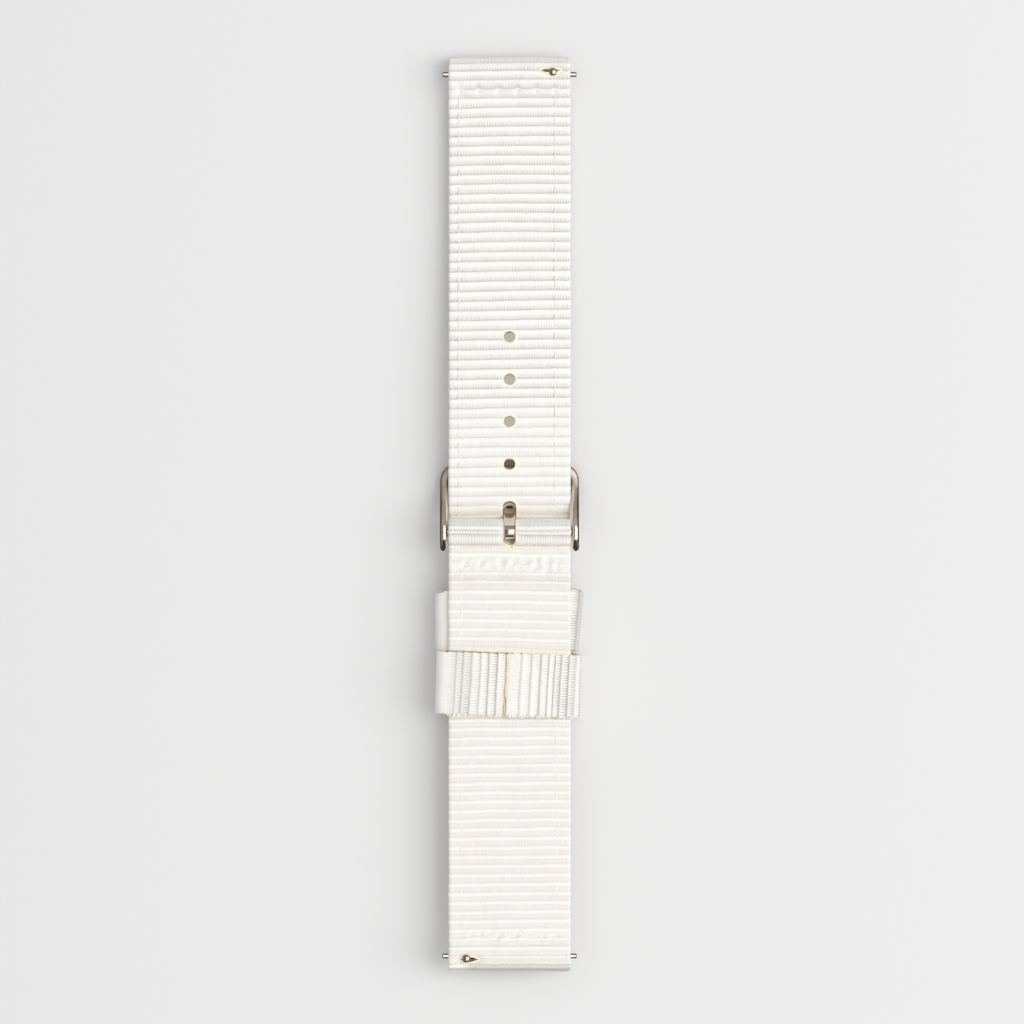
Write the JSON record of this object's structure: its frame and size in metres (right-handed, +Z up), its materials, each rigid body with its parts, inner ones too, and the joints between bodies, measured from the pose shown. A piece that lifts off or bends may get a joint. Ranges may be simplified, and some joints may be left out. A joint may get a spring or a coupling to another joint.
{
  "type": "watch strap",
  "caption": "Buckled two-piece ribbed nylon watch strap with a pin buckle, keepers and quick-release spring bars.",
  "frame": {"origin": "centre of the strap's box on the surface it lies on, face down and buckled", "axes": "+Y along the strap towards the long piece's lug end, +X across it, +Z up, out of the side that lies on the skin"},
  "size_m": [0.0244, 0.1502, 0.0076],
  "materials": {
    "webbing": "matte",
    "polished_steel": "polished",
    "bar_steel": "satin",
    "spring_steel": "satin"
  },
  "bodies": {
    "long_strap": {"long_strap": "webbing"},
    "short_strap": {"short_strap": "webbing", "fixed_keeper": "webbing"},
    "floating_keeper": {"floating_keeper": "webbing"},
    "buckle": {"buckle_frame": "polished_steel", "buckle_bar_tube": "bar_steel", "buckle_bar_spring": "spring_steel"},
    "tang": {"buckle_tang": "polished_steel"},
    "buckle_left_tip": {"buckle_bar_left_tip": "bar_steel"},
    "buckle_right_tip": {"buckle_bar_right_tip": "bar_steel"},
    "long_lug_bar": {"long_lug_bar_tube": "bar_steel", "long_lug_bar_spring": "spring_steel", "long_lug_bar_fixed_tip": "bar_steel"},
    "long_release": {"long_lug_bar_release_tip": "bar_steel", "long_lug_bar_release_knob": "bar_steel"},
    "short_lug_bar": {"short_lug_bar_tube": "bar_steel", "short_lug_bar_spring": "spring_steel", "short_lug_bar_fixed_tip": "bar_steel"},
    "short_release": {"short_lug_bar_release_tip": "bar_steel", "short_lug_bar_release_knob": "bar_steel"}
  },
  "joints": [
    {"name": "keeper_slide", "type": "slide", "parent": "short_strap", "child": "floating_keeper", "axis": [0, -1, 0], "range_m": [0, 0.031]},
    {"name": "buckle_pivot", "type": "hinge", "parent": "short_strap", "child": "buckle", "pos_m": [0, -0.00297, 0.0054], "axis": [-1, 0, 0], "range_deg": [0, 12]},
    {"name": "tang_pivot", "type": "hinge", "parent": "buckle", "child": "tang", "pos_m": [0, -0.00297, 0.0054], "axis": [-1, 0, 0], "range_deg": [0, 15]},
    {"name": "buckle_left_tip_press", "type": "slide", "parent": "buckle", "child": "buckle_left_tip", "axis": [1, 0, 0], "range_m": [0, 0.00085], "stiffness_N_per_m": 500, "springref_m": -0.001, "deforming": ["buckle_bar_spring"]},
    {"name": "buckle_right_tip_press", "type": "slide", "parent": "buckle", "child": "buckle_right_tip", "axis": [-1, 0, 0], "range_m": [0, 0.00085], "stiffness_N_per_m": 500, "springref_m": -0.001, "deforming": ["buckle_bar_spring"]},
    {"name": "strap_play", "type": "slide", "parent": "short_strap", "child": "long_strap", "axis": [0, -1, 0], "range_m": [0, 0.0003]},
    {"name": "long_lug_bar_turn", "type": "hinge", "parent": "long_strap", "child": "long_lug_bar", "pos_m": [0, 0.07218, 0.00218], "axis": [1, 0, 0], "range_deg": [-8, 8]},
    {"name": "long_release_slide", "type": "slide", "parent": "long_lug_bar", "child": "long_release", "axis": [-1, 0, 0], "range_m": [0, 0.0012], "stiffness_N_per_m": 500, "springref_m": -0.001, "deforming": ["long_lug_bar_spring"]},
    {"name": "short_lug_bar_turn", "type": "hinge", "parent": "short_strap", "child": "short_lug_bar", "pos_m": [0, -0.07254, 0.00505], "axis": [1, 0, 0], "range_deg": [-8, 8]},
    {"name": "short_release_slide", "type": "slide", "parent": "short_lug_bar", "child": "short_release", "axis": [1, 0, 0], "range_m": [0, 0.0012], "stiffness_N_per_m": 500, "springref_m": -0.001, "deforming": ["short_lug_bar_spring"]}
  ]
}
